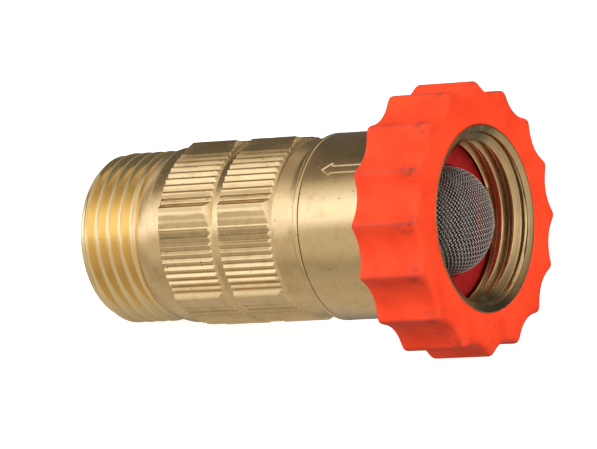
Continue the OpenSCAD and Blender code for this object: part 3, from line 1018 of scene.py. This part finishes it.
# How far from the middle STUDIO_SIDES takes over, and where along the axis STUDIO_END does
MIDDLE = -0.52
SIDES_FROM, SIDES_TO = 0.07, 0.23
END_FROM, END_TO = 0.15, 0.45
# The bright parts are neutral and the rest is warm
BRIGHT = 0.9
WARM = (1, 0.93, 0.84)
NEUTRAL = (1, 1.02, 1.12)


def bright_ramp(nodes, share, table):
    ramp = nodes.node("ShaderNodeValToRGB", share)
    stops = ramp.color_ramp.elements
    while len(stops) < len(table):
        stops.new(0.5)
    for stop, (degrees, bright) in zip(stops, table):
        tint = NEUTRAL if bright > BRIGHT else WARM
        stop.position = degrees / 360 + 0.5
        stop.color = (*(bright * part for part in tint), 1)
    return ramp.outputs[0]


def studio():
    """Soft light all round: a bright screen in front, a dark strip overhead and a warm grey table."""
    world = bpy.data.worlds.new("studio")
    bpy.context.scene.world = world
    world.use_nodes = True
    nodes = Nodes(world.node_tree)
    outward = nodes.node("ShaderNodeTexCoord").outputs["Generated"]
    x, y, z = nodes.node("ShaderNodeSeparateXYZ", outward).outputs
    angle = nodes.math("ARCTAN2", z, nodes.math("MULTIPLY", y, -1))
    share = nodes.math("MULTIPLY_ADD", angle, 1 / FULL, 0.5)
    middle, sides, end = (bright_ramp(nodes, share, table) for table in (STUDIO, STUDIO_SIDES, STUDIO_END))
    away = nodes.math("ABSOLUTE", nodes.math("SUBTRACT", x, MIDDLE))
    colour = nodes.mix(nodes.share(away, SIDES_FROM, SIDES_TO), middle, sides)
    colour = nodes.mix(nodes.share(x, END_FROM, END_TO), colour, end)
    light = nodes.node("ShaderNodeBackground", colour)
    nodes.node("ShaderNodeOutputWorld", light.outputs[0])


# Across a lamp, in metres
LAMP_SIZE = 0.8


def soft_lamp(name, place, power):
    """A large soft lamp aimed at the object, in metres and watts. It isn't seen in the metal."""
    lamp = bpy.data.objects.new(name, bpy.data.lights.new(name, "AREA"))
    lamp.data.shape = "DISK"
    lamp.data.size = LAMP_SIZE
    lamp.data.energy = power
    lamp.location = place
    lamp.rotation_mode = "QUATERNION"
    lamp.rotation_quaternion = Vector(place).to_track_quat("Z", "Y")
    lamp.visible_glossy = False
    bpy.context.scene.collection.objects.link(lamp)


camera()
floor = pale_floor()
backdrop = white_backdrop()
studio()
soft_lamp("key", (0.5, -0.9, 0.9), 12)
soft_lamp("fill", (-0.9, -0.7, 0.12), 9.5)
soft_lamp("side", (1.1, 0.2, 0.1), 8.5)
bpy.context.scene.view_settings.view_transform = "Standard"

stem_brass = plain_brass("brass_stem", 0.2, 0.8)
black_rubber = rubber("black_rubber", (0.02, 0.02, 0.02), (0.035, 0.035, 0.033))
bright_steel = steel("steel", (0.6, 0.6, 0.61), (0.5, 0.5, 0.5), 0.28, (4, 0.5, 0.5))
white_acetal = acetal("acetal", (0.8, 0.77, 0.68), (0.74, 0.7, 0.6))
# Painted shade: the seat carrier is black so that the strainer's holes look dark
black_acetal = acetal("black_acetal", (0.02, 0.02, 0.02), (0.03, 0.028, 0.026))
red_rubber = rubber("red_rubber", (0.36, 0.012, 0.012), (0.28, 0.01, 0.01))
pressed = steel("stainless_rim", (0.3, 0.28, 0.26), (0.2, 0.18, 0.16), 0.4, (3, 3, 3))

stand_for(outlet_housing(), "outlet_housing", outlet_brass())
stand_for(inlet_housing(), "inlet_housing", inlet_brass())
stand_for(swivel_nut(), "swivel_nut", nut_brass())
stand_for(nut_grip(), "nut_grip", grip_plastic())
stand_for(inlet_washer(), "inlet_washer", red_rubber)
stand_for(screen_mesh(), "screen_mesh", woven_wire())
spring = stand_for(piston_spring(), "piston_spring", bright_steel)

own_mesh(spring)

CARRIED_OVER = {
    black_rubber: ("housing_oring", "stem_oring", "piston_oring", "seat_disc"),
    bright_steel: ("gland_washer", "spring_washer", "carrier_clip", "nut_retaining_ring"),
    white_acetal: ("stem_bush", "piston_head"),
    black_acetal: ("seat_carrier",),
    stem_brass: ("piston_stem",),
    pressed: ("screen_rim",),
}
for look, names in CARRIED_OVER.items():
    for name in names:
        for material_slot in frame["nodes"][name].material_slots:
            material_slot.material = look
